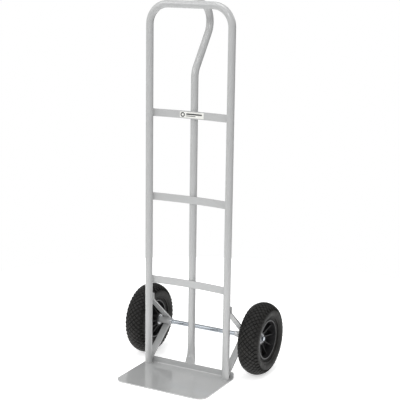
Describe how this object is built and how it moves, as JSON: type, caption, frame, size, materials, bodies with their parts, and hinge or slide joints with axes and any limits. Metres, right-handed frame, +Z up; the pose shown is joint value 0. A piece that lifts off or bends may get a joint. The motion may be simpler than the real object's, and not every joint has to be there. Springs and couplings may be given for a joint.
{
  "type": "hand truck",
  "caption": "Upright hand truck: bent tube hoop with flat crossbars, centre loop handle, rounded toe plate and fat treaded wheels on a fixed axle.",
  "frame": {"origin": "centre of the overall box on the floor", "axes": "+X across the truck, +Y from the toe plate's front edge to the wheels, +Z up"},
  "size_m": [0.5356, 0.456, 1.3],
  "materials": {
    "frame_paint": "gloss powder coat, light grey",
    "zinc_plate": "bright zinc plate",
    "bearing_steel": "ground steel",
    "tyre_rubber": "matte charcoal rubber",
    "rim_plastic": "moulded black plastic, satin",
    "label_film": "satin printed film"
  },
  "bodies": {
    "frame": {"left_side_tube": "frame_paint", "right_side_tube": "frame_paint", "top_bow": "frame_paint", "handle_tube": "frame_paint", "upper_crossbar": "frame_paint", "middle_crossbar": "frame_paint", "lower_crossbar": "frame_paint", "toe_plate": "frame_paint", "label_plate": "label_film", "foot_rivet": "zinc_plate", "axle": "zinc_plate", "left_axle_bracket": "frame_paint", "left_axle_sleeve": "frame_paint", "left_axle_collar": "zinc_plate", "left_inner_washer": "zinc_plate", "left_outer_washer": "zinc_plate", "left_split_pin": "zinc_plate", "right_axle_bracket": "frame_paint", "right_axle_sleeve": "frame_paint", "right_axle_collar": "zinc_plate", "right_inner_washer": "zinc_plate", "right_outer_washer": "zinc_plate", "right_split_pin": "zinc_plate"},
    "left_wheel": {"left_tyre": "tyre_rubber", "left_rim": "rim_plastic", "left_bearing_spacer": "bearing_steel", "left_inboard_bearing_outer_ring": "bearing_steel", "left_inboard_bearing_inner_ring": "bearing_steel", "left_inboard_bearing_balls": "bearing_steel", "left_outboard_bearing_outer_ring": "bearing_steel", "left_outboard_bearing_inner_ring": "bearing_steel", "left_outboard_bearing_balls": "bearing_steel"},
    "right_wheel": {"right_tyre": "tyre_rubber", "right_rim": "rim_plastic", "right_bearing_spacer": "bearing_steel", "right_inboard_bearing_outer_ring": "bearing_steel", "right_inboard_bearing_inner_ring": "bearing_steel", "right_inboard_bearing_balls": "bearing_steel", "right_outboard_bearing_outer_ring": "bearing_steel", "right_outboard_bearing_inner_ring": "bearing_steel", "right_outboard_bearing_balls": "bearing_steel"}
  },
  "joints": [
    {"name": "left_wheel_spin", "type": "hinge", "parent": "frame", "child": "left_wheel", "pos_m": [-0.2283, 0.099, 0.129], "axis": [1, 0, 0], "continuous": true},
    {"name": "right_wheel_spin", "type": "hinge", "parent": "frame", "child": "right_wheel", "pos_m": [0.2283, 0.099, 0.129], "axis": [1, 0, 0], "continuous": true}
  ]
}
